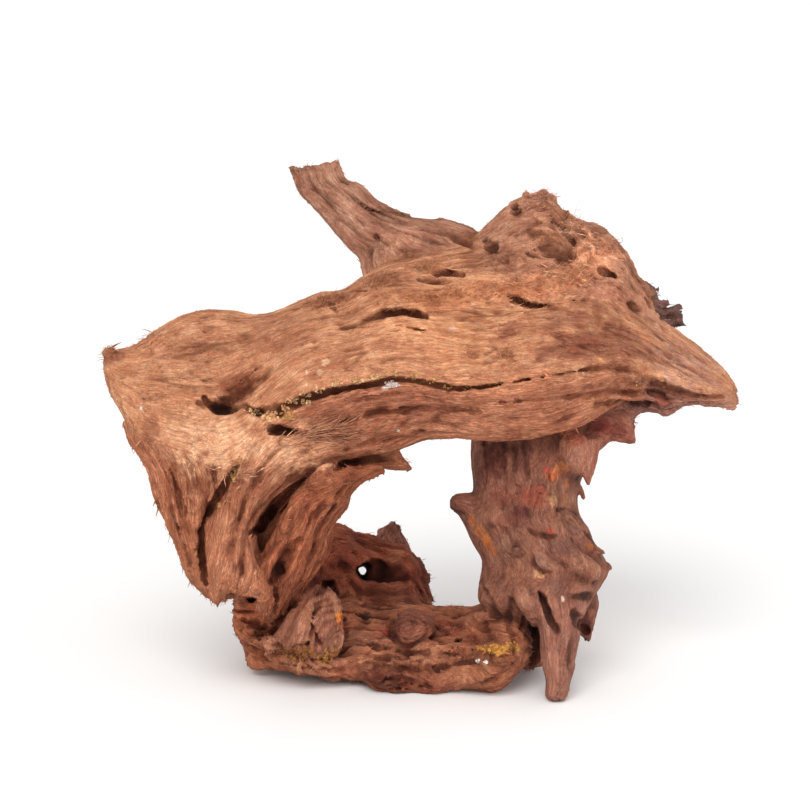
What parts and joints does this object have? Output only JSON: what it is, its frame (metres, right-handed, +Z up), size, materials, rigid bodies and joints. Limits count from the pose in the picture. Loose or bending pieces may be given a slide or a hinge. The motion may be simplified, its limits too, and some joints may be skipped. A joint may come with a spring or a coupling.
{
  "type": "cave ornament",
  "caption": "Free-standing root wood arch for a pond or aquarium: a broad roof slab on a trunk and hanging flanks, with a swim-through opening over a ground root.",
  "frame": {"origin": "middle of the bounding box on the plane the ornament stands on", "axes": "+X along the length, to the beak end of the roof slab; +Y to the back, away from the side with the long shake; +Z up"},
  "size_m": [0.3728, 0.1808, 0.2974],
  "materials": {
    "crown_wood": "weathered, fuzzy torn fibre, orange tan",
    "band_wood": "weathered, combed grain, warm brown",
    "column_wood": "weathered, brown with red and yellow mineral stains",
    "base_wood": "weathered, brown, rough grain",
    "burl_wood": "weathered, wavy burl grain",
    "dark_bark": "weathered, dark flaky bark"
  },
  "bodies": {
    "root": {"crown_slab": "crown_wood", "crown_burl": "crown_wood", "back_branch": "crown_wood", "rear_stub": "dark_bark", "beak_under": "dark_bark", "front_band": "band_wood", "outer_wing": "band_wood", "arch_spur": "band_wood", "inner_flank": "band_wood", "right_column": "column_wood", "column_knob": "column_wood", "column_fin": "column_wood", "column_splinter": "column_wood", "front_foot": "column_wood", "side_hook": "column_wood", "rear_strut": "column_wood", "base_root": "base_wood", "base_burl": "burl_wood", "cut_stub": "burl_wood", "rear_root": "base_wood", "rear_spur": "dark_bark", "bark_sole": "dark_bark"}
  },
  "joints": []
}
